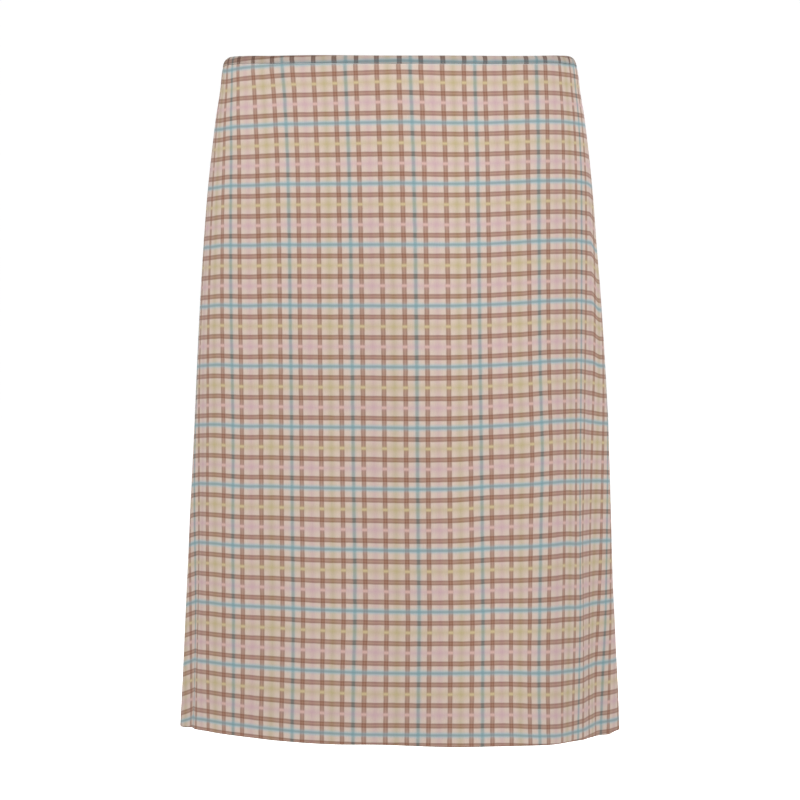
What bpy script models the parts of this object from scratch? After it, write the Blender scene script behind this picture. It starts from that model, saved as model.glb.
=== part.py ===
"""Pull-on A-line midi skirt in check cloth, worn but empty: metres, +Z up.

The origin is the middle of the waist opening, level with its top edge. +X is the wearer's
left as seen from the front, so it is on the right of a front view, and -Y is the front.
Every piece follows one family of rings. A ring is a flattened oval at a given drop below
the waist, and the folds stand off it or sink into it as they grow towards the hem.
"""

import math

import bmesh
import bpy
import numpy as np

# Driving sizes
LENGTH = 0.672
WAIST_EDGE_HEIGHT = 0.008
WAIST_EDGE_THICKNESS = 0.0030
WAIST_EDGE_PROUD = 0.0004
CLOTH_WALL = 0.0018
HEM_TURNING = 0.010
HEM_WALL = 0.0028
HEM_STEP = 0.0010
SEAM_GAP = 0.0003

# How much the oval is pulled in halfway between its back and side points
BACK_FLATTENING = 0.03

# The side seams sit a little behind the outline and swing back towards the hem.
RIGHT_SEAM_TURNS = (-3, -30)
LEFT_SEAM_TURNS = (183, 187)

# Mesh density
RING_POINTS = 720
PANEL_COLUMNS = 60
WAIST_EDGE_COLUMNS = 96
PANEL_DROPS = (
    0.020, 0.045, 0.080, 0.120, 0.165, 0.210, 0.260, 0.310,
    0.360, 0.410, 0.460, 0.510, 0.560, 0.610, 0.640,
)

# The last two columns say how much the oval is pulled in between its front and side points.
SECTION_COLUMNS = ("drop", "half_width", "front_depth", "back_depth", "left_pull", "right_pull")
SECTIONS = (
    (0.000, 0.1755, 0.118, 0.108, 0.02, 0.04),
    (0.012, 0.1793, 0.119, 0.110, 0.02, 0.04),
    (0.030, 0.1815, 0.120, 0.113, 0.02, 0.04),
    (0.060, 0.1863, 0.121, 0.117, 0.01, 0.04),
    (0.150, 0.1960, 0.125, 0.128, 0.00, 0.05),
    (0.250, 0.2025, 0.127, 0.134, 0.00, 0.06),
    (0.400, 0.2088, 0.128, 0.137, 0.00, 0.08),
    (0.672, 0.2195, 0.130, 0.140, 0.01, 0.09),
)

# Turns are degrees round the ring: 0 right side, 90 front, 180 left side, 270 back.
# Reach is how far a fold spreads towards a smaller and towards a larger turn.
FOLD_COLUMNS = ("name", "waist_turn", "hem_turn", "reach_down", "reach_up", "stand", "start", "full")
FOLDS = (
    ("right front roll", 37, 54, 0.060, 0.110, 0.036, 0.00, 0.672),
    ("front ridge", 80, 78, 0.045, 0.032, 0.005, 0.10, 0.360),
    ("front valley", 104, 104, 0.036, 0.045, -0.004, 0.10, 0.360),
    ("right side valley", 23, 14, 0.028, 0.026, -0.012, 0.12, 0.600),
    ("right side crest", 4, -6, 0.020, 0.018, 0.005, 0.18, 0.360),
    ("right side flare", 0, -6, 0.024, 0.020, 0.003, 0.52, 0.640),
    ("left crease", 159, 166, 0.014, 0.016, -0.006, 0.30, 0.640),
    ("left front bulge", 154, 166, 0.070, 0.050, 0.004, 0.06, 0.672),
    ("left side crest", 186, 188, 0.036, 0.040, 0.003, 0.10, 0.672),
    ("back left valley", 228, 226, 0.035, 0.035, -0.014, 0.12, 0.672),
    ("back middle ridge", 262, 258, 0.045, 0.040, 0.012, 0.16, 0.672),
    ("back right valley", 298, 300, 0.036, 0.040, -0.017, 0.10, 0.672),
    ("back right ridge", 330, 328, 0.040, 0.036, 0.010, 0.14, 0.672),
)

# The elastic edge rises a little over the hips, towards the sides.
LIFT_COLUMNS = ("turn", "lift")
WAIST_LIFTS = (
    (0, 0.0040),
    (12, 0.0055),
    (26, 0.0040),
    (42, 0.0014),
    (60, -0.0006),
    (90, -0.0020),
    (125, 0.0003),
    (138, 0.0013),
    (150, 0.0030),
    (168, 0.0046),
    (180, 0.0038),
    (225, 0.0005),
    (270, -0.0010),
    (315, 0.0005),
)

# The hem isn't level: it hangs lower at the sides and rides up over the right front roll.
HEM_LIFTS = (
    (0, -0.0070),
    (6, -0.0085),
    (13, -0.0079),
    (26, -0.0051),
    (50, 0.0005),
    (74, 0.0037),
    (92, 0.0031),
    (107, 0.0010),
    (124, 0.0020),
    (132, 0.0030),
    (150, 0.0037),
    (172, 0.0010),
    (196, -0.0090),
    (270, -0.0040),
    (336, -0.0110),
)


def column(table, names, wanted):
    """One named column of a table, as an array."""
    place = names.index(wanted)
    return np.array([row[place] for row in table], float)


def smooth_between(x, places, values):
    """A smooth curve through the values that never overshoots them."""
    widths = np.diff(places)
    slopes = np.diff(values) / widths
    ends = np.concatenate([[slopes[0]], np.zeros(len(slopes) - 1), [slopes[-1]]])
    for i in range(1, len(slopes)):
        if slopes[i - 1] * slopes[i] > 0:
            ends[i] = 2 * slopes[i - 1] * slopes[i] / (slopes[i - 1] + slopes[i])
    i = np.clip(np.searchsorted(places, x) - 1, 0, len(widths) - 1)
    t = np.clip((x - places[i]) / widths[i], 0, 1)
    from_left = (1 + 2 * t) * (1 - t) ** 2 * values[i] + t * (1 - t) ** 2 * widths[i] * ends[i]
    from_right = t * t * (3 - 2 * t) * values[i + 1] + t * t * (t - 1) * widths[i] * ends[i + 1]
    return from_left + from_right


def lift_at(table, turns):
    """How far an edge rides up at each turn, in metres."""
    places = column(table, LIFT_COLUMNS, "turn")
    lifts = column(table, LIFT_COLUMNS, "lift")
    places = np.concatenate([places - 360, places, places + 360])
    return smooth_between(np.degrees(turns) % 360, places, np.tile(lifts, 3))


def ring_lift(drop, turns):
    """The lift of a ring: the waist edge's at the top, the hem's at the bottom."""
    share = drop / LENGTH
    return lift_at(WAIST_LIFTS, turns) * (1 - share) + lift_at(HEM_LIFTS, turns) * share


def oval(drop):
    """The ring without folds: its turns and its points in plan."""
    drops = column(SECTIONS, SECTION_COLUMNS, "drop")
    width, front, back, left_pull, right_pull = [
        smooth_between(drop, drops, column(SECTIONS, SECTION_COLUMNS, name))
        for name in SECTION_COLUMNS[1:]
    ]
    turns = np.arange(RING_POINTS) * 2 * math.pi / RING_POINTS
    in_front = np.sin(turns) > 0
    pull = np.where(np.cos(turns) > 0, right_pull, left_pull)
    pull = np.where(in_front, pull, BACK_FLATTENING)
    size = 1 - pull * np.sin(2 * turns) ** 2
    x = width * np.cos(turns) * size
    y = -np.where(in_front, front, back) * np.sin(turns) * size
    return turns, np.column_stack([x, y])


def outward(points):
    """Unit vectors in plan that point out of a closed ring of points."""
    along = np.roll(points, -1, axis=0) - np.roll(points, 1, axis=0)
    across = np.column_stack([-along[:, 1], along[:, 0]])
    across /= np.linalg.norm(across, axis=1)[:, None]
    return across if (across * points).sum() > 0 else -across


def fold_stand(drop, turns, points):
    """How far the folds move each point of a ring outwards, in metres."""
    steps = np.linalg.norm(np.roll(points, -1, axis=0) - points, axis=1)
    arc = np.concatenate([[0], np.cumsum(steps)[:-1]])
    girth = steps.sum()
    stand = np.zeros(len(points))
    for _, waist_turn, hem_turn, reach_down, reach_up, height, start, full in FOLDS:
        turn = math.radians(waist_turn + (hem_turn - waist_turn) * drop / LENGTH) % (2 * math.pi)
        middle = np.interp(turn, np.append(turns, 2 * math.pi), np.append(arc, girth))
        away = (arc - middle + girth / 2) % girth - girth / 2
        reach = np.where(away > 0, reach_up, reach_down)
        growth = min(max((drop - start) / (full - start), 0), 1)
        stand += height * growth * np.exp(-((away / reach) ** 2))
    return stand


def folded_ring(drop):
    """The cloth's outer ring at a drop below the waist: turns, plan points, outward vectors."""
    turns, points = oval(drop)
    points = points + outward(points) * fold_stand(drop, turns, points)[:, None]
    return turns, points, outward(points)


def stretch_of_ring(drop, first_turn, last_turn, columns, trim):
    """Evenly spaced places along part of a ring, each end cut back by trim.

    It returns the 3-D points on the cloth's outside and their outward vectors.
    """
    turns, points, normals = folded_ring(drop)
    turns = np.concatenate([turns + 2 * math.pi * lap for lap in range(3)])
    points = np.tile(points, (3, 1))
    normals = np.tile(normals, (3, 1))
    arc = np.concatenate([[0], np.cumsum(np.linalg.norm(np.diff(points, axis=0), axis=1))])
    first, last = np.interp([first_turn, last_turn], turns, arc)
    places = np.linspace(first + trim, last - trim, columns + 1)
    x = np.interp(places, arc, points[:, 0])
    y = np.interp(places, arc, points[:, 1])
    lift = ring_lift(drop, np.interp(places, arc, turns))
    out = np.column_stack([np.interp(places, arc, normals[:, k]) for k in (0, 1)])
    out /= np.linalg.norm(out, axis=1)[:, None]
    level = np.zeros(columns + 1)
    return np.column_stack([x, y, lift - drop]), np.column_stack([out, level])


def mesh_object(name, points, faces, material):
    """A smooth-shaded object from points and faces, its faces turned outwards."""
    mesh = bpy.data.meshes.new(name)
    mesh.from_pydata([tuple(p) for p in points], [], faces)
    work = bmesh.new()
    work.from_mesh(mesh)
    bmesh.ops.recalc_face_normals(work, faces=work.faces)
    work.to_mesh(mesh)
    work.free()
    mesh.shade_smooth()
    mesh.set_sharp_from_angle(angle=math.radians(50))
    mesh.materials.append(material)
    thing = bpy.data.objects.new(name, mesh)
    bpy.context.scene.collection.objects.link(thing)
    return thing


def cloth_material(name, colour, roughness):
    material = bpy.data.materials.new(name)
    material.use_nodes = True
    shader = material.node_tree.nodes["Principled BSDF"]
    shader.inputs["Base Color"].default_value = (*colour, 1)
    shader.inputs["Roughness"].default_value = roughness
    shader.inputs["Metallic"].default_value = 0.0
    return material


def seam_turn(waist_and_hem, drop):
    """Where a seam lies at a drop, in radians."""
    waist_turn, hem_turn = waist_and_hem
    return math.radians(waist_turn + (hem_turn - waist_turn) * drop / LENGTH)


def walled_panel(name, first_seam, last_seam, material):
    """One panel from seam to seam: an outer and an inner skin, thicker where the hem is turned up."""
    top = WAIST_EDGE_HEIGHT + SEAM_GAP
    hem_top = LENGTH - HEM_TURNING
    drops = (top,) + PANEL_DROPS + (hem_top, hem_top + HEM_STEP, LENGTH)
    outer, inner = [], []
    for drop in drops:
        first_turn = seam_turn(first_seam, drop) + 2 * math.pi
        last_turn = seam_turn(last_seam, drop)
        while last_turn < first_turn:
            last_turn += 2 * math.pi
        points, out = stretch_of_ring(drop, first_turn, last_turn, PANEL_COLUMNS, SEAM_GAP / 2)
        wall = HEM_WALL if drop > hem_top else CLOTH_WALL
        outer.append(points)
        inner.append(points - out * wall)
    rows = len(drops)
    across = PANEL_COLUMNS + 1
    skin = rows * across

    def at(side, row, col):
        return side * skin + row * across + col

    faces = []
    for row in range(rows - 1):
        for col in range(PANEL_COLUMNS):
            faces.append((at(0, row, col), at(0, row, col + 1), at(0, row + 1, col + 1), at(0, row + 1, col)))
            faces.append((at(1, row, col), at(1, row + 1, col), at(1, row + 1, col + 1), at(1, row, col + 1)))
        for col in (0, PANEL_COLUMNS):
            faces.append((at(0, row, col), at(0, row + 1, col), at(1, row + 1, col), at(1, row, col)))
    for row in (0, rows - 1):
        for col in range(PANEL_COLUMNS):
            faces.append((at(0, row, col), at(0, row, col + 1), at(1, row, col + 1), at(1, row, col)))
    points = np.concatenate([np.concatenate(outer), np.concatenate(inner)])
    return mesh_object(name, points, faces, material)


def waist_edge(name, material):
    """The top turned in over narrow elastic: a closed ring with a rounded top."""
    proud = WAIST_EDGE_PROUD
    inside = proud - WAIST_EDGE_THICKNESS
    shoulder = WAIST_EDGE_HEIGHT * 0.15
    rim = WAIST_EDGE_THICKNESS * 0.25
    profile = (
        (WAIST_EDGE_HEIGHT, proud),
        (shoulder, proud),
        (0.0, proud - rim),
        (0.0, inside + rim),
        (shoulder, inside),
        (WAIST_EDGE_HEIGHT, inside),
    )
    points = []
    for drop, offset in profile:
        ring, out = stretch_of_ring(drop, 0, 2 * math.pi, WAIST_EDGE_COLUMNS, 0)
        points.append((ring + out * offset)[:-1])
    count = WAIST_EDGE_COLUMNS
    faces = []
    for side in range(len(profile)):
        following = (side + 1) % len(profile)
        for col in range(count):
            beside = (col + 1) % count
            faces.append(
                (side * count + col, side * count + beside, following * count + beside, following * count + col)
            )
    return mesh_object(name, np.concatenate(points), faces, material)


def main():
    for thing in list(bpy.data.objects):
        bpy.data.objects.remove(thing, do_unlink=True)
    check_cloth = cloth_material("check_cloth", (0.62, 0.48, 0.40), 0.8)
    gathered_edge = cloth_material("gathered_edge", (0.50, 0.39, 0.33), 0.85)
    walled_panel("front_panel", RIGHT_SEAM_TURNS, LEFT_SEAM_TURNS, check_cloth)
    walled_panel("back_panel", LEFT_SEAM_TURNS, RIGHT_SEAM_TURNS, check_cloth)
    waist_edge("waist_edge", gathered_edge)


main()
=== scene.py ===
import math

import bmesh
import bpy
import numpy as np
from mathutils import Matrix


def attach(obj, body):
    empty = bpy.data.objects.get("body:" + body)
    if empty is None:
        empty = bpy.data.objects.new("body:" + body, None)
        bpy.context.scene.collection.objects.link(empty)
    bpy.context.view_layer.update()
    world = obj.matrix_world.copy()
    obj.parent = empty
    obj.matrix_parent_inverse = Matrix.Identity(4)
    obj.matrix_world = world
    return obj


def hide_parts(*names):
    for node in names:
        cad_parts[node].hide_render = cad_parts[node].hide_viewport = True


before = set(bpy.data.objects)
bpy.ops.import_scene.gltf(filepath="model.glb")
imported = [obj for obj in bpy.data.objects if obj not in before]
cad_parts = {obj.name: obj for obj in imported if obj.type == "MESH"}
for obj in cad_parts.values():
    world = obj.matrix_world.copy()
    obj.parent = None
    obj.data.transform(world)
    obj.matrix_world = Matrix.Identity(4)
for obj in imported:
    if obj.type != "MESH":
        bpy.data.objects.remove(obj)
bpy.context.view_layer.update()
print("frame loaded:", sorted(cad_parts))


def linearColour(hexCode):
    # sRGB hex to the linear values that the shaders take
    parts = [int(hexCode[i:i + 2], 16) / 255 for i in (1, 3, 5)]
    return tuple(p / 12.92 if p <= 0.04045 else ((p + 0.055) / 1.055) ** 2.4 for p in parts) + (1.0,)


def addNode(tree, kind, settings=None, links=None):
    # one node: its settings, then a link or a plain value for each named socket
    node = tree.nodes.new(kind)
    for key, value in (settings or {}).items():
        setattr(node, key, value)
    for socket, value in (links or {}).items():
        if isinstance(value, bpy.types.NodeSocket):
            tree.links.new(value, node.inputs[socket])
        else:
            node.inputs[socket].default_value = value
    return node


# The camera comes first: a long lens 2.6 m in front, level with the upper third, as in the photo
cameraSetup = {"place": (0.0, -2.6, -0.2233), "pitch": 2.572, "lens": 115.2}
cameraData = bpy.data.cameras.new("photoCamera")
cameraData.lens = cameraSetup["lens"]
cameraData.sensor_width = 36
cameraData.clip_end = 60
cameraObject = bpy.data.objects.new("photoCamera", cameraData)
cameraObject.location = cameraSetup["place"]
cameraObject.rotation_euler = (math.radians(90 - cameraSetup["pitch"]), 0, 0)
bpy.context.scene.collection.objects.link(cameraObject)
bpy.context.scene.camera = cameraObject
bpy.context.scene.view_settings.view_transform = "Standard"

# The skirt's form: the same rings as its solids, in metres. Turn 0 is the right side of a front view,
# 90 the front, 180 the left side and 270 the back.
skirtForm = {
    "length": 0.672,
    "edgeHeight": 0.008,   # the turned waist edge
    "backPull": 0.03,   # how much the back's corners are drawn in, as the pulls below do for the front
    "rightSeam": (-3, -30),   # turn at the waist, turn at the hem
    "leftSeam": (183, 187),
    "seamGap": 0.0003,
    "ringPoints": 1080,
    # drop, half width, front depth, back depth, left pull, right pull
    "sections": (
        (0.000, 0.1755, 0.118, 0.108, 0.02, 0.04),
        (0.012, 0.1793, 0.119, 0.110, 0.02, 0.04),
        (0.030, 0.1815, 0.120, 0.113, 0.02, 0.04),
        (0.060, 0.1863, 0.121, 0.117, 0.01, 0.04),
        (0.150, 0.1960, 0.125, 0.128, 0.00, 0.05),
        (0.250, 0.2025, 0.127, 0.134, 0.00, 0.06),
        (0.400, 0.2088, 0.128, 0.137, 0.00, 0.08),
        (0.672, 0.2195, 0.130, 0.140, 0.01, 0.09),
    ),
    # waist turn, hem turn, reach to smaller turns, reach to larger turns, stand, start, full
    "folds": (
        (37, 54, 0.060, 0.110, 0.036, 0.00, 0.672),    # right front roll
        (80, 78, 0.045, 0.032, 0.005, 0.10, 0.360),    # front ridge
        (104, 104, 0.036, 0.045, -0.004, 0.10, 0.360), # front valley
        (23, 14, 0.028, 0.026, -0.012, 0.12, 0.600),   # right side valley
        (4, -6, 0.020, 0.018, 0.005, 0.18, 0.360),     # right side crest
        (0, -6, 0.024, 0.020, 0.003, 0.52, 0.640),     # right side flare
        (159, 166, 0.014, 0.016, -0.006, 0.30, 0.640), # left crease
        (154, 166, 0.070, 0.050, 0.004, 0.06, 0.672),  # left front bulge
        (186, 188, 0.036, 0.040, 0.003, 0.10, 0.672),  # left side crest
        (228, 226, 0.035, 0.035, -0.014, 0.12, 0.672), # back left valley
        (262, 258, 0.045, 0.040, 0.012, 0.16, 0.672),  # back middle ridge
        (298, 300, 0.036, 0.040, -0.017, 0.10, 0.672), # back right valley
        (330, 328, 0.040, 0.036, 0.010, 0.14, 0.672),  # back right ridge
    ),
    # turn, how far the edge rides up
    "waistLift": (
        (0, 0.0040), (12, 0.0055), (26, 0.0040), (42, 0.0014), (60, -0.0006), (90, -0.0020),
        (125, 0.0003), (138, 0.0013), (150, 0.0030), (168, 0.0046), (180, 0.0038), (225, 0.0005),
        (270, -0.0010), (315, 0.0005),
    ),
    "hemLift": (
        (0, -0.0070), (6, -0.0085), (13, -0.0079), (26, -0.0051), (50, 0.0005), (74, 0.0037),
        (92, 0.0031), (107, 0.0010), (124, 0.0020), (132, 0.0030), (150, 0.0037), (172, 0.0010),
        (196, -0.0090), (270, -0.0040), (336, -0.0110),
    ),
}
# Centre front and centre back, in radians on a ring's second lap
frontCentre = 2.5 * math.pi
backCentre = 3.5 * math.pi

# Soft creases laid on top of the folds, uneven in length, depth and spacing
softCreases = {
    "ease": 0.3,       # share of a crease's length, on each side of an end, over which it fades
    "hemDrop": 0.66,   # a crease that reaches this drop runs out through the hem
    # turn at the top, turn at the bottom, top drop, bottom drop, reach, stand
    "laid": (
        (101, 99, 0.20, 0.62, 0.022, -0.0021),
        (76, 75, 0.20, 0.62, 0.019, 0.0022),
        (118, 121, 0.30, 0.67, 0.018, -0.0008),
        (135, 139, 0.06, 0.34, 0.016, 0.0007),
        (146, 152, 0.38, 0.67, 0.013, -0.0011),
        (57, 61, 0.05, 0.30, 0.015, -0.0008),
        (44, 47, 0.34, 0.67, 0.014, 0.0012),
        (26, 24, 0.42, 0.67, 0.009, -0.0020),
        (9, 6, 0.46, 0.67, 0.008, 0.0012),
        (170, 174, 0.40, 0.67, 0.009, 0.0012),
        (178, 180, 0.20, 0.60, 0.010, -0.0010),
        (205, 203, 0.18, 0.60, 0.016, 0.0012),
        (217, 221, 0.34, 0.67, 0.014, -0.0014),
        (243, 241, 0.08, 0.42, 0.017, 0.0010),
        (254, 250, 0.40, 0.67, 0.013, -0.0012),
        (276, 279, 0.20, 0.62, 0.020, -0.0012),
        (288, 286, 0.05, 0.33, 0.014, 0.0009),
        (311, 314, 0.36, 0.67, 0.015, 0.0014),
        (340, 344, 0.14, 0.55, 0.014, -0.0012),
    ),
}


def smoothCurve(x, places, values):
    # through the values without overshooting them
    widths = np.diff(places)
    slopes = np.diff(values) / widths
    ends = np.concatenate([[slopes[0]], np.zeros(len(slopes) - 1), [slopes[-1]]])
    for i in range(1, len(slopes)):
        if slopes[i - 1] * slopes[i] > 0:
            ends[i] = 2 * slopes[i - 1] * slopes[i] / (slopes[i - 1] + slopes[i])
    i = np.clip(np.searchsorted(places, x) - 1, 0, len(widths) - 1)
    t = np.clip((x - places[i]) / widths[i], 0, 1)
    fromLeft = (1 + 2 * t) * (1 - t) ** 2 * values[i] + t * (1 - t) ** 2 * widths[i] * ends[i]
    fromRight = t * t * (3 - 2 * t) * values[i + 1] + t * t * (t - 1) * widths[i] * ends[i + 1]
    return fromLeft + fromRight


def roundTheRing(table, degrees):
    # a table of (turn, value) read as a closed smooth curve
    places = np.array([row[0] for row in table], float)
    values = np.array([row[1] for row in table], float)
    places = np.concatenate([places - 360, places, places + 360])
    return smoothCurve(degrees % 360, places, np.tile(values, 3))


def easeStep(x):
    # from 0 to 1 with soft ends
    x = np.clip(x, 0, 1)
    return x * x * (3 - 2 * x)


def outwardOf(points):
    # unit vectors square to the ring that point away from its middle
    along = np.roll(points, -1, axis=0) - np.roll(points, 1, axis=0)
    across = np.column_stack([-along[:, 1], along[:, 0]])
    across /= np.linalg.norm(across, axis=1)[:, None]
    return across if (across * points).sum() > 0 else -across


def ringGirth(points):
    # the way along the ring to each point, and the whole way round
    steps = np.linalg.norm(np.roll(points, -1, axis=0) - points, axis=1)
    return np.concatenate([[0], np.cumsum(steps)[:-1]]), steps.sum()


def awayFrom(turnDegrees, turns, arc, girth):
    # signed distance along the ring from a turn
    turn = math.radians(turnDegrees) % (2 * math.pi)
    middle = np.interp(turn, np.append(turns, 2 * math.pi), np.append(arc, girth))
    return (arc - middle + girth / 2) % girth - girth / 2


def clothRing(drop):
    # the cloth's outer ring at one drop: three laps of turns, arc, plan points and outward vectors
    form = skirtForm
    table = np.array(form["sections"])
    width, front, back, leftPull, rightPull = [
        smoothCurve(drop, table[:, 0], table[:, k]) for k in range(1, 6)
    ]
    turns = np.arange(form["ringPoints"]) * 2 * math.pi / form["ringPoints"]
    inFront = np.sin(turns) > 0
    pull = np.where(inFront, np.where(np.cos(turns) > 0, rightPull, leftPull), form["backPull"])
    size = 1 - pull * np.sin(2 * turns) ** 2
    points = np.column_stack([
        width * np.cos(turns) * size,
        -np.where(inFront, front, back) * np.sin(turns) * size,
    ])
    arc, girth = ringGirth(points)
    stand = np.zeros(len(points))
    for waistTurn, hemTurn, reachDown, reachUp, height, start, full in form["folds"]:
        away = awayFrom(waistTurn + (hemTurn - waistTurn) * drop / form["length"], turns, arc, girth)
        growth = min(max((drop - start) / (full - start), 0), 1)
        stand += height * growth * np.exp(-((away / np.where(away > 0, reachUp, reachDown)) ** 2))
    ease = softCreases["ease"]
    for topTurn, bottomTurn, top, bottom, reach, height in softCreases["laid"]:
        share = (drop - top) / (bottom - top)
        if not -ease < share < 1 + ease:
            continue
        away = awayFrom(topTurn + (bottomTurn - topTurn) * share, turns, arc, girth)
        rise = easeStep((share + ease) / (2 * ease))
        fall = 1 if bottom > softCreases["hemDrop"] else easeStep((1 + ease - share) / (2 * ease))
        stand += height * rise * fall * np.exp(-((away / reach) ** 2))
    points = points + outwardOf(points) * stand[:, None]
    out = outwardOf(points)
    laps = np.concatenate([turns + 2 * math.pi * lap for lap in range(3)])
    points, out = np.tile(points, (3, 1)), np.tile(out, (3, 1))
    arc = np.concatenate([[0], np.cumsum(np.linalg.norm(np.diff(points, axis=0), axis=1))])
    return laps, arc, points, out


def lapArcs(ring, count):
    # evenly spaced arcs once round a ring, on its second lap
    start, end = np.interp([2 * math.pi, 4 * math.pi - 1e-9], ring[0], ring[1])
    return np.linspace(start, end, count + 1)[:-1]


# How uneven the gathers are: each wave's phase, and how far and how often they bunch
gatherWaves = {"phase": 1.7, "bunch": 0.6, "bunches": 5}


def gathers(degrees, counts, depth):
    # small uneven waves that the elastic draws into the cloth
    around = np.radians(degrees)
    wave = 0
    for number, count in enumerate(counts):
        bunch = gatherWaves["bunch"] * np.sin(around * gatherWaves["bunches"] + number)
        wave = wave + np.sin(around * count + gatherWaves["phase"] * number + bunch)
    return depth * wave / len(counts)


# How the level lines of the check ride up or sag, in mm, by bearing, at the drops named in riseDrops
riseDrops = (0.02, 0.15, 0.36, 0.45, 0.51, 0.58, 0.65)
lineRise = (
    (8, 3.1, 3.5, 0.3, 0.0, -3.5, -7.5, -9.5), (20, 3.5, 5.0, 4.3, 1.6, -2.5, -6.5, -9.1),
    (32, 2.5, 4.0, 4.8, 4.2, 0.5, -3.5, -7.7), (44, 0.5, 2.0, 2.8, 3.4, 0.5, -1.5, -4.4),
    (56, -0.7, 0.2, 1.6, 3.2, 1.2, 0.8, -0.7), (70, -1.0, -0.5, 0.6, 1.3, 0.5, 1.1, 0.2),
    (90, -0.2, -0.2, 0.1, 0.0, -0.3, -0.5, -1.3), (110, -1.0, -0.3, 0.3, -0.3, -0.8, -1.3, -3.2),
    (130, -1.5, -0.2, 0.2, 0.1, -0.3, -0.5, -2.7), (141, -1.1, 0.2, 0.3, 0.5, 0.4, 0.0, -1.3),
    (150, -1.6, -0.4, -0.5, -0.3, -0.3, -0.5, -0.4), (160, -1.8, 0.0, 0.0, 0.0, -0.3, -0.8, 0.0),
    (169, -2.8, -1.3, -1.8, -1.4, -1.6, -2.1, -1.0), (178, -1.0, -1.5, -4.0, -6.5, -9.0, -10.0, -11.0),
    (190, -1.0, -1.5, -4.0, -6.0, -8.0, -9.0, -10.0), (225, 0.0, 0.0, 0.0, -0.5, -1.0, -1.5, -2.0),
    (270, 0.0, 0.0, 0.0, 0.0, 0.0, 0.0, 0.0), (300, 0.0, 0.0, 0.0, -0.5, -1.0, -2.0, -3.0),
    (335, 2.0, 1.0, -2.0, -3.5, -5.0, -7.0, -9.0), (355, 3.0, 2.0, -2.5, -3.5, -5.0, -8.0, -10.0),
)
weavePlace = {
    "repeatAcross": 0.0635,
    "repeatDown": 0.0591,
    "frontStart": 0.011,     # first blue warp line right of the centre front, at the waist
    "backStart": 0.026,
    "downStart": 0.0069,     # first blue weft line below the top edge
    "centreSearch": 0.6,     # radians on each side of a centre line in which it is looked for
    # how far the upright lines drift towards smaller turns, which is to the right in front: drop, metres
    "drift": (
        (0.0, -0.0018), (0.05, 0.0002), (0.10, 0.0019), (0.20, 0.0040), (0.31, 0.0055), (0.43, 0.0066),
        (0.55, 0.0081), (0.672, 0.0070),
    ),
    # how far the lines across sag behind the right side's fold: drop, mm
    "sideSag": (
        (0.07, 0.0), (0.14, 2.5), (0.18, 7.0), (0.21, 7.0), (0.25, 6.0), (0.29, 3.4), (0.33, 1.8),
        (0.37, 0.3), (0.40, 0.0),
    ),
    # the bearings between which they sag
    "sagBearings": {"starts": 10, "full": 5, "fades": -15, "gone": -50},
    # the cloth is eased in a little towards the left side: repeats, and where that comes and goes
    "leftEase": {"amount": 0.15, "starts": -2.2, "over": 1.6, "fadeDrop": 0.3, "fadeOver": 0.5},
    # and drawn over the hem's fold
    "hemDraw": {"rise": 0.0012, "starts": 0.662, "over": 0.008},
    # where the front's upright lines are pulled to the left: bearing, reach in degrees, drop, reach, mm
    "pulls": (
        (158, 18, 0.00, 0.070, 6.0), (20, 16, 0.00, 0.105, -10.0), (140, 13, 0.30, 0.220, -2.2),
        (156, 8, 0.36, 0.120, -2.8), (162, 7, 0.60, 0.100, 2.2), (108, 10, 0.38, 0.100, 0.8),
        (112, 12, 0.64, 0.120, 2.6), (54, 12, 0.25, 0.150, 1.1), (41, 15, 0.60, 0.120, 5.0),
        (125, 16, 0.13, 0.100, -1.5), (38, 12, 0.38, 0.055, -2.0), (26, 9, 0.15, 0.080, -2.2),
        (143, 14, 0.00, 0.030, 1.1), (56, 12, 0.00, 0.030, -0.9), (146, 14, 0.67, 0.045, 1.3),
    ),
}


def weaveCoordinates(drop, arcs, points, ring, centreTurn):
    # where each point lies in the check, in repeats across and down
    make = weavePlace
    laps, arc, ringPoints, _ = ring
    # the centre line lies where the ring crosses x = 0
    near = np.abs(laps - centreTurn) < make["centreSearch"]
    centre = np.interp(0, ringPoints[near, 0] * np.sign(ringPoints[near, 0][-1]), arc[near])
    drift = np.interp(drop, *zip(*make["drift"]))
    bearing = np.degrees(np.arctan2(-points[:, 1], points[:, 0])) % 360
    inFront = centreTurn == frontCentre
    start = make["frontStart"] if inFront else make["backStart"]
    across = (centre - arcs - start - drift) / make["repeatAcross"]
    if inFront:
        ease = make["leftEase"]
        eased = easeStep((ease["starts"] - across) / ease["over"])
        fade = 1 - easeStep((drop - ease["fadeDrop"]) / ease["fadeOver"])
        across = across + ease["amount"] * eased * fade
        for pullBearing, reach, pullDrop, dropReach, pull in make["pulls"]:
            nearness = ((bearing - pullBearing) / reach) ** 2 + ((drop - pullDrop) / dropReach) ** 2
            across = across + pull / 1000 / make["repeatAcross"] * np.exp(-nearness)
    k = int(np.clip(np.searchsorted(riseDrops, drop) - 1, 0, len(riseDrops) - 2))
    share = min(max((drop - riseDrops[k]) / (riseDrops[k + 1] - riseDrops[k]), 0), 1)
    above, below = [roundTheRing([(row[0], row[i]) for row in lineRise], bearing) for i in (k + 1, k + 2)]
    rise = (above * (1 - share) + below * share) / 1000
    draw = make["hemDraw"]
    rise = rise + draw["rise"] * easeStep((drop - draw["starts"]) / draw["over"])
    fromSide = (bearing + 180) % 360 - 180
    sag = np.interp(drop, *zip(*make["sideSag"])) / 1000
    ends = make["sagBearings"]
    sag = sag * easeStep((ends["starts"] - fromSide) / (ends["starts"] - ends["full"]))
    rise = rise - sag * easeStep((fromSide - ends["gone"]) / (ends["fades"] - ends["gone"]))
    down = (rise - points[:, 2] - make["downStart"]) / make["repeatDown"]
    return np.column_stack([across, down])


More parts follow.
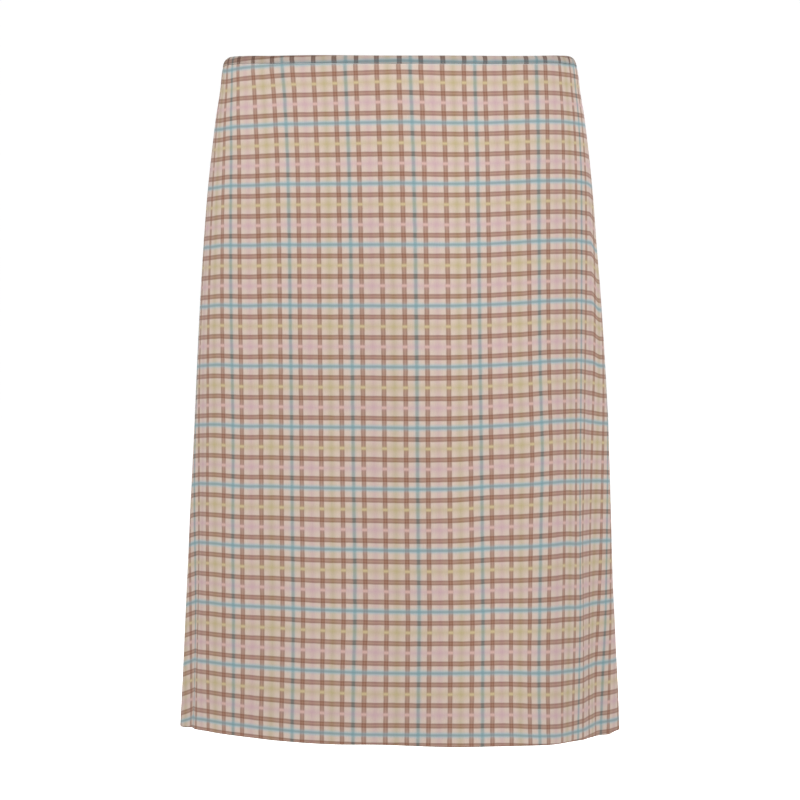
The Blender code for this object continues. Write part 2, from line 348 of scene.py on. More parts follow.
def ringRow(drop, arcs, offset, ring, centreTurn, gatherDepth=0.0, waveCounts=()):
    # points of one ring at given arcs, moved out by offset, with their place in the check
    laps, arc, ringPoints, out = ring
    degrees = np.degrees(np.interp(arcs, arc, laps))
    plan = np.column_stack([np.interp(arcs, arc, ringPoints[:, k]) for k in (0, 1)])
    normal = np.column_stack([np.interp(arcs, arc, out[:, k]) for k in (0, 1)])
    normal /= np.linalg.norm(normal, axis=1)[:, None]
    share = drop / skirtForm["length"]
    waistLift = roundTheRing(skirtForm["waistLift"], degrees)
    lift = waistLift * (1 - share) + roundTheRing(skirtForm["hemLift"], degrees) * share
    points = np.column_stack([plan, lift - drop])
    weave = weaveCoordinates(drop, arcs, points, ring, centreTurn)
    move = offset + (gathers(degrees, waveCounts, gatherDepth) if gatherDepth else 0)
    points[:, :2] += normal * np.reshape(move, (-1, 1))
    return points, weave


def shellObject(name, points, faces, weave, inside, material):
    # a smooth mesh whose faces point outwards, with its weave map and its inside mask
    points = np.asarray(points, float)
    faces = np.asarray(faces, int)
    a, b, c = points[faces[:, 0]], points[faces[:, 1]], points[faces[:, 2]]
    d = points[faces[:, 3]]
    volume = (np.cross(a, b) * c).sum() + (np.cross(a, c) * d).sum()
    if volume < 0:
        faces = faces[:, ::-1]
    mesh = bpy.data.meshes.new(name)
    mesh.from_pydata(points.tolist(), [], faces.tolist())
    mesh.validate()
    corner = np.empty(len(mesh.loops), int)
    mesh.loops.foreach_get("vertex_index", corner)
    layer = mesh.uv_layers.new(name="weave")
    layer.data.foreach_set("uv", np.asarray(weave, np.float32)[corner].ravel())
    mask = mesh.attributes.new("inside", "FLOAT", "POINT")
    mask.data.foreach_set("value", np.asarray(inside, np.float32))
    mesh.shade_smooth()
    mesh.materials.append(material)
    piece = bpy.data.objects.new(name, mesh)
    bpy.context.scene.collection.objects.link(piece)
    return piece


# Cloth: a woven check in crepe. Each line says how heavily its yarns cover the face, against the ground's 1:
# brown yarns cover pale ones, and the blue weft lies over everything
checkCloth = {
    "ground": "#DBC7B9",
    # place in the repeat, half width mm, soft edge mm, split mm, strength, weight on the face, colour
    "warp": (
        (0.327, 2.2, 3.7, 0.0, 0.95, 1.0, "#CDA7AC"),   # rose band
        (0.655, 2.4, 3.8, 0.0, 0.95, 1.0, "#B7A976"),   # straw band
        (0.163, 2.4, 0.7, 0.0, 1.00, 2.7, "#A87D68"),   # brown bars: a filled middle, then two lines
        (0.490, 2.4, 0.7, 0.0, 1.00, 2.7, "#A87D68"),
        (0.825, 2.4, 0.7, 0.0, 1.00, 2.7, "#A87D68"),
        (0.163, 0.7, 0.5, 1.35, 0.85, 2.8, "#8C5F4B"),
        (0.490, 0.7, 0.5, 1.35, 0.85, 2.8, "#8C5F4B"),
        (0.825, 0.7, 0.5, 1.35, 0.85, 2.8, "#8C5F4B"),
        (0.000, 2.7, 2.4, 0.0, 0.90, 1.0, "#B5BEC1"),   # blue line and its halo
        (0.000, 1.6, 1.0, 0.0, 0.95, 1.2, "#3C8891"),
    ),
    "weft": (
        (0.672, 2.2, 3.7, 0.0, 0.95, 1.5, "#D0A8B4"),
        (0.340, 2.4, 3.8, 0.0, 0.95, 1.5, "#C5B481"),
        (0.184, 2.4, 0.7, 0.0, 1.00, 2.7, "#A87D68"),
        (0.520, 2.4, 0.7, 0.0, 1.00, 2.7, "#A87D68"),
        (0.847, 2.4, 0.7, 0.0, 1.00, 2.7, "#A87D68"),
        (0.184, 0.7, 0.5, 1.45, 0.85, 2.9, "#8A5D49"),
        (0.520, 0.7, 0.5, 1.45, 0.85, 2.9, "#8A5D49"),
        (0.847, 0.7, 0.5, 1.45, 0.85, 2.9, "#8A5D49"),
        (0.000, 2.6, 2.0, 0.0, 1.00, 2.2, "#A1C2CC"),
        (0.000, 1.2, 0.9, 0.0, 0.95, 7.0, "#87A2A7"),
    ),
    # weft yarns that float over the brown warp bars only: place, half width mm, soft edge mm, colour
    "floats": (
        (0.340, 1.3, 1.3, "#D2BE92"),
        (0.672, 1.4, 1.3, "#DAB5AB"),
    ),
    # where the blue warp crosses a brown weft bar, both pale grounds are gone:
    # half width mm, soft edge mm, strength, colour
    "darkCrossing": (1.5, 1.0, 0.5, "#5E6E68"),
    "brownWarp": (1.6, 2.4),        # between these weights a warp yarn comes to count as brown
    "brownWeft": (2.8, 0.3),        # a brown weft bar's weight, and how near to it still counts
    "wander": {"scale": 6.0, "detail": 2.0, "reach": 0.012},   # by about a quarter of a millimetre
    # Real yarns are 0.3 mm apart, too fine to show here, so the grain is drawn about 1.1 mm apart
    "grain": {"steps": (58.0, 9.0, 1.0), "detail": 3.0},     # upright; steps in a repeat across and down
    "crepe": {"steps": (64.0, 60.0, 1.0), "detail": 4.0},    # crepe's small pebbles
    "grainReach": (0.6, 1.4),       # the sum of both that is drawn darkest, and lightest
    "grainTone": (0.94, 1.06),
    "bumpHeight": 0.0004,
    "inside": (0.18, "#CDB5A6"),    # the inner face shows a little more of the ground
    "surface": {"Roughness": 0.78, "Specular IOR Level": 0.3, "Sheen Weight": 0.18, "Sheen Roughness": 0.5},
}


def buildLineCover():
    # how much of a line covers a place: all inside its half width, none past its soft edge
    tree = bpy.data.node_groups.new("lineCover", "ShaderNodeTree")
    for label in ("coordinate", "place", "repeatMm", "halfMm", "softMm", "splitMm"):
        tree.interface.new_socket(label, in_out="INPUT", socket_type="NodeSocketFloat")
    tree.interface.new_socket("cover", in_out="OUTPUT", socket_type="NodeSocketFloat")
    given = addNode(tree, "NodeGroupInput").outputs
    shifted = addNode(tree, "ShaderNodeMath", {"operation": "SUBTRACT"}, {
        0: given["coordinate"], 1: given["place"],
    })
    wrapped = addNode(tree, "ShaderNodeMath", {"operation": "WRAP"}, {0: shifted.outputs[0], 1: 0.5, 2: -0.5})
    inMm = addNode(tree, "ShaderNodeMath", {"operation": "MULTIPLY"}, {
        0: wrapped.outputs[0], 1: given["repeatMm"],
    })
    away = addNode(tree, "ShaderNodeMath", {"operation": "ABSOLUTE"}, {0: inMm.outputs[0]})
    fromSplit = addNode(tree, "ShaderNodeMath", {"operation": "SUBTRACT"}, {
        0: away.outputs[0], 1: given["splitMm"],
    })
    distance = addNode(tree, "ShaderNodeMath", {"operation": "ABSOLUTE"}, {0: fromSplit.outputs[0]})
    near = addNode(tree, "ShaderNodeMath", {"operation": "SUBTRACT"}, {
        0: given["halfMm"], 1: given["softMm"],
    })
    far = addNode(tree, "ShaderNodeMath", {"operation": "ADD"}, {0: given["halfMm"], 1: given["softMm"]})
    cover = addNode(tree, "ShaderNodeMapRange", {"interpolation_type": "SMOOTHSTEP"}, {
        "Value": distance.outputs[0], "From Min": near.outputs[0], "From Max": far.outputs[0],
        "To Min": 1.0, "To Max": 0.0,
    })
    addNode(tree, "NodeGroupOutput", None, {"cover": cover.outputs["Result"]})
    return tree


lineCover = buildLineCover()


def stripedYarns(tree, coordinate, repeatMm, lines):
    # one direction of yarns, line by line over the ground: its colour and its weight on the face
    colour, weight = linearColour(checkCloth["ground"]), 1.0
    for place, half, soft, split, strength, heavy, hexCode in lines:
        cover = addNode(tree, "ShaderNodeGroup", {"node_tree": lineCover}, {
            "coordinate": coordinate, "place": place, "repeatMm": repeatMm,
            "halfMm": half, "softMm": soft, "splitMm": split,
        })
        amount = addNode(tree, "ShaderNodeMath", {"operation": "MULTIPLY"}, {
            0: cover.outputs[0], 1: strength,
        })
        colour = addNode(tree, "ShaderNodeMix", {"data_type": "RGBA"}, {
            "Factor": amount.outputs[0], 6: colour, 7: linearColour(hexCode),
        }).outputs[2]
        weight = addNode(tree, "ShaderNodeMix", {"data_type": "FLOAT"}, {
            "Factor": amount.outputs[0], 2: weight, 3: heavy,
        }).outputs[0]
    return colour, weight


def buildCheckCloth(name, doublingAndShade, barDoublingAndShade, bumpStrength):
    # Woven crepe, semi-matt: soft broad highlights, a faint upright grain, no gloss
    cloth = checkCloth
    acrossMm, downMm = weavePlace["repeatAcross"] * 1000, weavePlace["repeatDown"] * 1000
    material = bpy.data.materials.new(name)
    material.use_nodes = True
    tree = material.node_tree
    shader = tree.nodes["Principled BSDF"]
    weave = addNode(tree, "ShaderNodeUVMap", {"uv_map": "weave"})
    # the yarns wander a little
    wander = addNode(tree, "ShaderNodeTexNoise", None, {
        "Vector": weave.outputs[0], "Scale": cloth["wander"]["scale"], "Detail": cloth["wander"]["detail"],
    })
    centred = addNode(tree, "ShaderNodeVectorMath", {"operation": "SUBTRACT"}, {
        0: wander.outputs["Color"], 1: (0.5, 0.5, 0.5),
    })
    moved = addNode(tree, "ShaderNodeVectorMath", {"operation": "SCALE"}, {
        0: centred.outputs[0], "Scale": cloth["wander"]["reach"],
    })
    place = addNode(tree, "ShaderNodeVectorMath", {"operation": "ADD"}, {
        0: weave.outputs[0], 1: moved.outputs[0],
    })
    split = addNode(tree, "ShaderNodeSeparateXYZ", None, {0: place.outputs[0]})
    # both directions of yarns, mixed by their weights on the face
    warp, warpWeight = stripedYarns(tree, split.outputs["X"], acrossMm, cloth["warp"])
    weft, weftWeight = stripedYarns(tree, split.outputs["Y"], downMm, cloth["weft"])
    bothWeights = addNode(tree, "ShaderNodeMath", {"operation": "ADD"}, {0: warpWeight, 1: weftWeight})
    share = addNode(tree, "ShaderNodeMath", {"operation": "DIVIDE"}, {
        0: weftWeight, 1: bothWeights.outputs[0],
    })
    check = addNode(tree, "ShaderNodeMix", {"data_type": "RGBA"}, {
        "Factor": share.outputs[0], 6: warp, 7: weft,
    }).outputs[2]
    # the dark crossings of blue warp and brown weft
    overBrown = addNode(tree, "ShaderNodeMapRange", None, {
        "Value": warpWeight, "From Min": cloth["brownWarp"][0], "From Max": cloth["brownWarp"][1],
    })
    underBrown = addNode(tree, "ShaderNodeMath", {"operation": "COMPARE"}, {
        0: weftWeight, 1: cloth["brownWeft"][0], 2: cloth["brownWeft"][1],
    })
    half, soft, strength, hexCode = cloth["darkCrossing"]
    blueCover = addNode(tree, "ShaderNodeGroup", {"node_tree": lineCover}, {
        "coordinate": split.outputs["X"], "place": 0.0, "repeatMm": acrossMm,
        "halfMm": half, "softMm": soft, "splitMm": 0.0,
    })
    crossing = addNode(tree, "ShaderNodeMath", {"operation": "MULTIPLY"}, {
        0: blueCover.outputs[0], 1: underBrown.outputs[0],
    })
    crossingTone = addNode(tree, "ShaderNodeMath", {"operation": "MULTIPLY"}, {
        0: crossing.outputs[0], 1: strength,
    })
    check = addNode(tree, "ShaderNodeMix", {"data_type": "RGBA"}, {
        "Factor": crossingTone.outputs[0], 6: check, 7: linearColour(hexCode),
    }).outputs[2]
    for floatPlace, half, soft, hexCode in cloth["floats"]:
        cover = addNode(tree, "ShaderNodeGroup", {"node_tree": lineCover}, {
            "coordinate": split.outputs["Y"], "place": floatPlace, "repeatMm": downMm,
            "halfMm": half, "softMm": soft, "splitMm": 0.0,
        })
        shown = addNode(tree, "ShaderNodeMath", {"operation": "MULTIPLY"}, {
            0: cover.outputs[0], 1: overBrown.outputs[0],
        })
        check = addNode(tree, "ShaderNodeMix", {"data_type": "RGBA"}, {
            "Factor": shown.outputs[0], 6: check, 7: linearColour(hexCode),
        }).outputs[2]
    # the brown bars darkened: not at all on the main cloth; on the waist edge partly doubled cloth, partly
    # painted shade
    barTone = addNode(tree, "ShaderNodeMapRange", None, {
        "Value": overBrown.outputs[0], "To Min": 1.0, "To Max": barDoublingAndShade,
    })
    check = addNode(tree, "ShaderNodeVectorMath", {"operation": "SCALE"}, {
        0: check, "Scale": barTone.outputs[0],
    }).outputs[0]
    # grain and crepe, as tone and as a low bump
    patterns = []
    for pattern in (cloth["grain"], cloth["crepe"]):
        stretched = addNode(tree, "ShaderNodeMapping", None, {
            "Vector": weave.outputs[0], "Scale": pattern["steps"],
        })
        patterns.append(addNode(tree, "ShaderNodeTexNoise", None, {
            "Vector": stretched.outputs[0], "Scale": 1.0, "Detail": pattern["detail"],
        }).outputs[0])
    both = addNode(tree, "ShaderNodeMath", {"operation": "ADD"}, {0: patterns[0], 1: patterns[1]})
    # the tone also carries the whole cloth's darkening, which on the waist edge is partly painted shade
    tone = addNode(tree, "ShaderNodeMapRange", None, {
        "Value": both.outputs[0], "From Min": cloth["grainReach"][0], "From Max": cloth["grainReach"][1],
        "To Min": doublingAndShade * cloth["grainTone"][0], "To Max": doublingAndShade * cloth["grainTone"][1],
    })
    grained = addNode(tree, "ShaderNodeVectorMath", {"operation": "SCALE"}, {
        0: check, "Scale": tone.outputs[0],
    })
    insideShare, insideColour = cloth["inside"]
    inside = addNode(tree, "ShaderNodeAttribute", {"attribute_name": "inside"})
    paler = addNode(tree, "ShaderNodeMath", {"operation": "MULTIPLY"}, {
        0: inside.outputs["Fac"], 1: insideShare,
    })
    finished = addNode(tree, "ShaderNodeMix", {"data_type": "RGBA"}, {
        "Factor": paler.outputs[0], 6: grained.outputs[0], 7: linearColour(insideColour),
    })
    tree.links.new(finished.outputs[2], shader.inputs["Base Color"])
    bump = addNode(tree, "ShaderNodeBump", None, {
        "Height": both.outputs[0], "Strength": bumpStrength, "Distance": cloth["bumpHeight"],
    })
    tree.links.new(bump.outputs[0], shader.inputs["Normal"])
    for socket, value in cloth["surface"].items():
        shader.inputs[socket].default_value = value
    return material


# darkening of the whole cloth and of its brown warp bars (on the waist edge partly doubled cloth, partly
# painted shade), strength of the bump
wovenCheckCrepe = buildCheckCloth("wovenCheckCrepe", 1.0, 1.0, 0.25)
# Turned over elastic, the cloth lies double and is drawn in. Its duller tone and much darker bars are partly
# the doubled cloth and partly painted shade, for the shadow the edge sits in as it curls inward
turnedCheckEdgeShaded = buildCheckCloth("turnedCheckEdgeShaded", 0.74, 0.62, 0.35)

# Spun polyester thread, dull and barely seen: darker than the ground, its colour holds painted shade matched
# to the shaded waist edge its row lies on
shadedSpunThread = bpy.data.materials.new("spunPolyesterThreadShaded")
shadedSpunThread.use_nodes = True
threadTree = shadedSpunThread.node_tree
threadPlace = addNode(threadTree, "ShaderNodeTexCoord")
threadTwist = addNode(threadTree, "ShaderNodeTexNoise", None, {
    "Vector": threadPlace.outputs["Object"], "Scale": 1800.0,   # about 0.6 mm a twist
})
# both thread colours hold painted shade: they are darkened to the tone of the shaded waist edge
threadShadedTone = addNode(threadTree, "ShaderNodeMix", {"data_type": "RGBA"}, {
    "Factor": threadTwist.outputs[0], 6: linearColour("#A2887A"), 7: linearColour("#B59B8C"),
})
threadShader = threadTree.nodes["Principled BSDF"]
threadTree.links.new(threadShadedTone.outputs[2], threadShader.inputs["Base Color"])
threadShader.inputs["Roughness"].default_value = 0.7
print("materials made")

# Panels: a thin shell on each solid's outer form, with the hem turned up inside
panelMake = {
    "columns": 196,
    "rows": 138,
    "wall": 0.0007,
    "hemWall": 0.0017,
    "hemTurning": 0.0100,
    "hemSwell": 0.00015,
    "topRows": (0.0, 0.0009, 0.0022, 0.0040, 0.0065, 0.0095),   # closer rows below the waist edge
    "mainRows": (0.0135, 0.0030),   # even rows: how far they keep from the top and from the hem's sewing
    "lastRow": 0.0010,
    # outside of the hem: drop below its sewing, share of the swell
    "hemRows": ((0.0, 0.3), (0.0012, 0.9), (0.0035, 1.0), (0.0065, 1.0), (0.0085, 0.8), (0.0095, 0.0)),
    # the fold: height above the lowest edge, offset, inside
    "foldRows": ((0.0001, -0.0003, 0), (0.0, -0.0008, 0.5), (0.0001, -0.0013, 1)),
    "turningRows": (0.0006, 0.0040),   # inside of the turning: height above the lowest edge
    "rawEdge": ((0.0012, 0.0), (0.0002, 0.0003)),   # its top: drop below the sewing, how far it thins
    "seamSteps": (0.0, 0.0004, 0.0009, 0.0016, 0.0026, 0.0042),   # closer columns beside a seam
    "seamDip": 0.0006,
    "gatherDepth": 0.00035,
    "gatherFade": 0.035,
    "waveCounts": (41, 57, 73),
}


def panelProfile():
    # drop, offset, inside: down the outside, round the hem fold, up the inside
    length, make = skirtForm["length"], panelMake
    top = skirtForm["edgeHeight"] + skirtForm["seamGap"]
    hemTop = length - make["hemTurning"]
    fromTop, fromHem = make["mainRows"]
    drops = np.concatenate([
        top + np.array(make["topRows"]),
        np.linspace(top + fromTop, hemTop - fromHem, make["rows"]),
        [hemTop - make["lastRow"]],
    ])
    outside = [(drop, 0.0, 0) for drop in drops]
    outside += [(hemTop + step, swell * make["hemSwell"], 0) for step, swell in make["hemRows"]]
    fold = [(length - height, offset, isInside) for height, offset, isInside in make["foldRows"]]
    inner = [(length - height, -make["hemWall"], 1) for height in make["turningRows"]]
    inner += [(hemTop + step, -make["hemWall"] + thinner, 1) for step, thinner in make["rawEdge"]]
    upward = [(drop, -make["wall"], 1) for drop in drops[::-1]]
    return outside + fold + inner + upward


def seamTurn(seam, drop):
    # a seam runs from its turn at the waist to its turn at the hem
    return math.radians(seam[0] + (seam[1] - seam[0]) * drop / skirtForm["length"])


def buildPanel(name, firstSeam, lastSeam, centreTurn, material):
    make, form = panelMake, skirtForm
    steps = np.array(make["seamSteps"])
    points, weave, inside = [], [], []
    rings = {}
    for drop, offset, isInside in panelProfile():
        if drop not in rings:
            rings[drop] = clothRing(drop)
        ring = rings[drop]
        first = seamTurn(firstSeam, drop) + 2 * math.pi
        last = seamTurn(lastSeam, drop)
        while last < first:
            last += 2 * math.pi
        start, end = np.interp([first, last], ring[0], ring[1])
        start, end = start + form["seamGap"] / 2, end - form["seamGap"] / 2
        middle = np.linspace(start + steps[-1], end - steps[-1], make["columns"] + 1)[1:-1]
        arcs = np.concatenate([start + steps, middle, end - steps[::-1]])
        toSeam = np.minimum(arcs - start, end - arcs)
        dip = make["seamDip"] * np.clip(1 - toSeam / steps[-1], 0, 1) ** 2
        depth = make["gatherDepth"] * easeStep(1 - (drop - form["edgeHeight"]) / make["gatherFade"])
        row, place = ringRow(drop, arcs, offset - dip, ring, centreTurn, depth, make["waveCounts"])
        points.append(row)
        weave.append(place)
        inside.append(np.full(len(row), isInside))
    rows, across = len(points), len(points[0])
    r, c = np.meshgrid(np.arange(rows), np.arange(across - 1), indexing="ij")
    r, c = r.ravel(), c.ravel()
    below = (r + 1) % rows
    faces = np.column_stack([r * across + c, r * across + c + 1, below * across + c + 1, below * across + c])
    ends = []
    for i in range(rows // 2):
        # the two narrow ends at the seams
        j = rows - 1 - i
        if j - i < 2:
            break
        for col, turned in ((0, True), (across - 1, False)):
            quad = [i * across + col, (i + 1) * across + col, (j - 1) * across + col, j * across + col]
            ends.append(quad if turned else quad[::-1])
    piece = shellObject(
        name, np.concatenate(points), np.concatenate([faces, ends]), np.concatenate(weave),
        np.concatenate(inside), material,
    )
    print(name, "made:", 2 * len(piece.data.polygons), "triangles")
    return piece


frontCloth = buildPanel(
    "frontCloth", skirtForm["rightSeam"], skirtForm["leftSeam"], frontCentre, wovenCheckCrepe
)
backCloth = buildPanel(
    "backCloth", skirtForm["leftSeam"], skirtForm["rightSeam"], backCentre, wovenCheckCrepe
)

# Waist edge: the top turned in over narrow elastic, slightly gathered, stitched along its lower border
waistMake = {
    "columns": 1180,
    "gatherDepth": 0.00050,
    "waveCounts": (41, 57, 73, 117, 151),
    # the elastic carries the upright lines a little to and fro: repeats, times round, shift in repeats
    "sway": (0.006, 23, 0.010),
    # drop, offset, inside, share of the gathers
    "profile": (
        (0.0080, 0.00005, 0, 0.6), (0.0077, 0.00035, 0, 0.7), (0.0072, 0.00045, 0, 0.8),
        (0.0068, 0.00030, 0, 0.8), (0.0064, 0.00045, 0, 1.0), (0.0054, 0.00060, 0, 1.0),
        (0.0040, 0.00065, 0, 1.0), (0.0026, 0.00055, 0, 1.0), (0.0014, 0.00025, 0, 0.8),
        (0.0005, -0.00030, 0, 0.6), (0.0000, -0.00110, 0, 0.4), (0.0004, -0.00185, 1, 0.4),
        (0.0013, -0.00235, 1, 0.4), (0.0030, -0.00260, 1, 0.4), (0.0056, -0.00260, 1, 0.4),
        (0.0077, -0.00240, 1, 0.4), (0.0080, -0.00200, 1, 0.4),
    ),
}


def waistRow(drop, offset, share, columns):
    ring = clothRing(drop)
    arcs = lapArcs(ring, columns)
    depth = waistMake["gatherDepth"] * share
    row, frontPlace = ringRow(drop, arcs, offset, ring, frontCentre, depth, waistMake["waveCounts"])
    # front and back are cut apart, so each half of the edge carries on its own panel's check
    _, backPlace = ringRow(drop, arcs, offset, ring, backCentre, depth, waistMake["waveCounts"])
    turn = np.degrees(np.interp(arcs, ring[1], ring[0])) % 360
    onBack = (turn > skirtForm["leftSeam"][0]) & (turn < 360 + skirtForm["rightSeam"][0])
    place = np.where(onBack[:, None], backPlace, frontPlace)
    sway, times, shift = waistMake["sway"]
    place[:, 0] += sway * np.sin(np.radians(turn) * times) - shift
    return row, place


def buildWaistEdge():
    columns = waistMake["columns"]
    rows, weave, inside = [], [], []
    for drop, offset, isInside, share in waistMake["profile"]:
        row, place = waistRow(drop, offset, share, columns)
        rows.append(row)
        weave.append(place)
        inside.append(np.full(columns, isInside))
    count = len(rows)
    r, c = np.meshgrid(np.arange(count), np.arange(columns), indexing="ij")
    r, c = r.ravel(), c.ravel()
    below, beside = (r + 1) % count, (c + 1) % columns
    faces = np.column_stack([
        r * columns + c, r * columns + beside, below * columns + beside, below * columns + c,
    ])
    return shellObject(
        "waistEdge", np.concatenate(rows), faces, np.concatenate(weave), np.concatenate(inside),
        turnedCheckEdgeShaded,
    )


waistEdge = buildWaistEdge()
print("waist edge made")

# Sewing: one row round the waist edge, and blind stitches round the hem. The share is how much of the
# waist edge's gathers the path follows.
stitchMake = {
    "lengthVaries": (0.88, 1.06),
    "waist": {
        "drop": 0.0068, "offset": 0.00032, "share": 0.8, "points": 1180,
        "length": 0.0026, "gap": 0.0007, "radius": 0.00013, "seed": 4,
    },
    "hem": {
        "drop": 0.6632, "offset": 0.00004, "points": 1200,
        "length": 0.0010, "gap": 0.0070, "radius": 0.00014, "seed": 9,
    },
}


def buildStitchTree():
    # stitches along a path: one small oval of thread for each, a gap apart
    tree = bpy.data.node_groups.new("stitchesAlongPath", "GeometryNodeTree")
    sockets = {}
    for label, kind in (
        ("Geometry", "NodeSocketGeometry"), ("Stitch Length", "NodeSocketFloat"),
        ("Stitch Gap", "NodeSocketFloat"), ("Thread Radius", "NodeSocketFloat"),
        ("Seed", "NodeSocketInt"), ("Thread", "NodeSocketMaterial"),
    ):
        sockets[label] = tree.interface.new_socket(label, in_out="INPUT", socket_type=kind).identifier
    tree.interface.new_socket("Geometry", in_out="OUTPUT", socket_type="NodeSocketGeometry")
    given = addNode(tree, "NodeGroupInput").outputs
    path = addNode(tree, "GeometryNodeMeshToCurve", None, {"Mesh": given["Geometry"]})
    pitch = addNode(tree, "ShaderNodeMath", {"operation": "ADD"}, {
        0: given["Stitch Length"], 1: given["Stitch Gap"],
    })
    spaced = addNode(tree, "GeometryNodeResampleCurve", {"mode": "LENGTH"}, {
        "Curve": path.outputs[0], "Length": pitch.outputs[0],
    })
    tangent = addNode(tree, "GeometryNodeInputTangent")
    turned = addNode(tree, "FunctionNodeAlignRotationToVector", {"axis": "X"}, {"Vector": tangent.outputs[0]})
    half = addNode(tree, "ShaderNodeMath", {"operation": "MULTIPLY"}, {0: given["Stitch Length"], 1: 0.5})
    shortest, longest = stitchMake["lengthVaries"]
    varied = addNode(tree, "FunctionNodeRandomValue", {"data_type": "FLOAT"}, {
        2: shortest, 3: longest, "Seed": given["Seed"],
    })
    length = addNode(tree, "ShaderNodeMath", {"operation": "MULTIPLY"}, {
        0: half.outputs[0], 1: varied.outputs[1],
    })
    size = addNode(tree, "ShaderNodeCombineXYZ", None, {
        "X": length.outputs[0], "Y": given["Thread Radius"], "Z": given["Thread Radius"],
    })
    bead = addNode(tree, "GeometryNodeMeshIcoSphere", None, {"Radius": 1.0, "Subdivisions": 2})
    laid = addNode(tree, "GeometryNodeInstanceOnPoints", None, {
        "Points": spaced.outputs[0], "Instance": bead.outputs[0], "Rotation": turned.outputs[0],
        "Scale": size.outputs[0],
    })
    real = addNode(tree, "GeometryNodeRealizeInstances", None, {"Geometry": laid.outputs[0]})
    smooth = addNode(tree, "GeometryNodeSetShadeSmooth", None, {"Geometry": real.outputs[0]})
    finished = addNode(tree, "GeometryNodeSetMaterial", None, {
        "Geometry": smooth.outputs[0], "Material": given["Thread"],
    })
    addNode(tree, "NodeGroupOutput", None, {"Geometry": finished.outputs[0]})
    return tree, sockets


stitchTree, stitchSockets = buildStitchTree()


def buildStitches(name, path, make):
    count = len(path)
    guideMesh = bpy.data.meshes.new(name + "Guide")
    guideMesh.from_pydata([tuple(p) for p in path], [(i, (i + 1) % count) for i in range(count)], [])
    guide = bpy.data.objects.new(name + "Guide", guideMesh)
    bpy.context.scene.collection.objects.link(guide)
    modifier = guide.modifiers.new("stitches", "NODES")
    modifier.node_group = stitchTree
    modifier[stitchSockets["Stitch Length"]] = make["length"]
    modifier[stitchSockets["Stitch Gap"]] = make["gap"]
    modifier[stitchSockets["Thread Radius"]] = make["radius"]
    modifier[stitchSockets["Seed"]] = make["seed"]
    modifier[stitchSockets["Thread"]] = shadedSpunThread
    graph = bpy.context.evaluated_depsgraph_get()
    mesh = bpy.data.meshes.new_from_object(
        guide.evaluated_get(graph), preserve_all_data_layers=True, depsgraph=graph
    )
    mesh.name = name
    piece = bpy.data.objects.new(name, mesh)
    bpy.context.scene.collection.objects.link(piece)
    bpy.data.objects.remove(guide, do_unlink=True)
    print(name, "made:", len(mesh.polygons), "faces")
    return piece


waistSewing, hemSewing = stitchMake["waist"], stitchMake["hem"]
waistPath, _ = waistRow(
    waistSewing["drop"], waistSewing["offset"], waistSewing["share"], waistSewing["points"]
)
waistStitches = buildStitches("waistStitches", waistPath, waistSewing)
hemRing = clothRing(hemSewing["drop"])
hemArcs = lapArcs(hemRing, hemSewing["points"])
hemPath, _ = ringRow(hemSewing["drop"], hemArcs, hemSewing["offset"], hemRing, frontCentre)
hemStitches = buildStitches("hemStitches", hemPath, hemSewing)

# Stage: a pale floor below the hanging skirt, soft lights, a white surround
stageSetup = {
    "floorHeight": -1.05,
    "floorRadius": 14.0,
    "surroundRadius": 13.5,
    "worldStrength": 0.235,
}
world = bpy.data.worlds.new("softSurround")
bpy.context.scene.world = world
world.use_nodes = True
world.node_tree.nodes["Background"].inputs[0].default_value = (1.0, 1.0, 1.0, 1.0)
world.node_tree.nodes["Background"].inputs[1].default_value = stageSetup["worldStrength"]


def plainMaterial(name, hexCode, roughness, glow):
    material = bpy.data.materials.new(name)
    material.use_nodes = True
    shader = material.node_tree.nodes["Principled BSDF"]
    shader.inputs["Base Color"].default_value = linearColour(hexCode)
    shader.inputs["Roughness"].default_value = roughness
    shader.inputs["Emission Color"].default_value = (1.0, 1.0, 1.0, 1.0)
    shader.inputs["Emission Strength"].default_value = glow
    return material


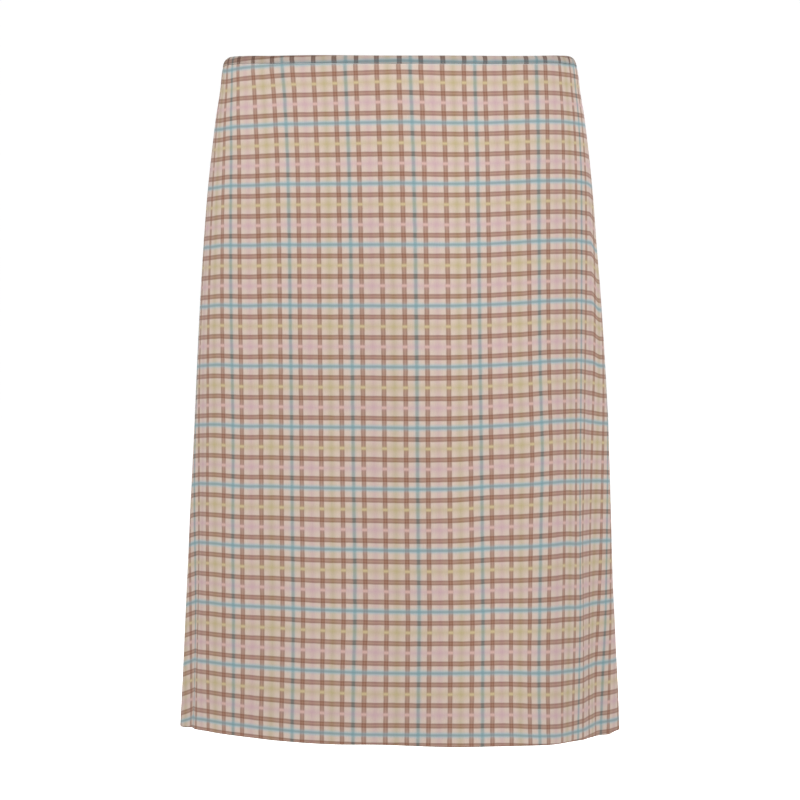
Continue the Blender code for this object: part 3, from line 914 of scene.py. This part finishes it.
def stageObject(name, build, material):
    mesh = bpy.data.meshes.new(name)
    work = bmesh.new()
    build(work)
    work.to_mesh(mesh)
    work.free()
    mesh.materials.append(material)
    thing = bpy.data.objects.new(name, mesh)
    bpy.context.scene.collection.objects.link(thing)
    return thing


floor = stageObject(
    "floor",
    lambda work: bmesh.ops.create_circle(work, cap_ends=True, segments=96, radius=stageSetup["floorRadius"]),
    plainMaterial("paleFloor", "#F6F5F3", 0.9, 0.90),
)
floor.location.z = stageSetup["floorHeight"]
floor.visible_diffuse = False   # it hangs well clear of the floor, which throws no light up at it
surround = stageObject(
    "surround",
    lambda work: bmesh.ops.create_icosphere(work, subdivisions=4, radius=stageSetup["surroundRadius"]),
    plainMaterial("whiteSurround", "#000000", 1.0, 1.0),
)
# the surround is only what stands behind the object: it neither lights it nor shades it
surround.visible_diffuse = False
surround.visible_glossy = False
surround.visible_transmission = False
surround.visible_shadow = False

# name, place, aim, size, watts
softLights = (
    ("keyLight", (1.9, -2.3, 0.9), (0.0, 0.0, -0.30), 1.6, 25),
    ("sideLight", (2.6, -1.0, 0.6), (0.0, 0.0, -0.30), 1.2, 36),
    ("fillLight", (-2.3, -2.1, 0.3), (0.0, 0.0, -0.35), 1.8, 45),
    ("topLight", (-1.3, -1.3, 1.1), (0.0, 0.0, -0.20), 0.9, 12),
    ("backLight", (0.6, 2.8, 0.8), (0.0, 0.0, -0.35), 1.8, 50),
)
for name, place, aim, size, watts in softLights:
    lamp = bpy.data.lights.new(name, "AREA")
    lamp.shape = "SQUARE"
    lamp.size = size
    lamp.energy = watts
    light = bpy.data.objects.new(name, lamp)
    light.location = place
    toward = np.array(aim) - np.array(place)
    light.rotation_euler = (
        math.acos(-toward[2] / np.linalg.norm(toward)), 0, math.atan2(toward[1], toward[0]) - math.pi / 2,
    )
    bpy.context.scene.collection.objects.link(light)
print("stage and lights set")

for piece, node, slotName in (
    (frontCloth, "front_panel", "check_cloth"),
    (backCloth, "back_panel", "check_cloth"),
    (waistEdge, "waist_edge", "gathered_edge"),
):
    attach(piece, "root")
    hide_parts(node)
for piece, slotName in ((waistStitches, "gathered_edge"), (hemStitches, "check_cloth")):
    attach(piece, "root")
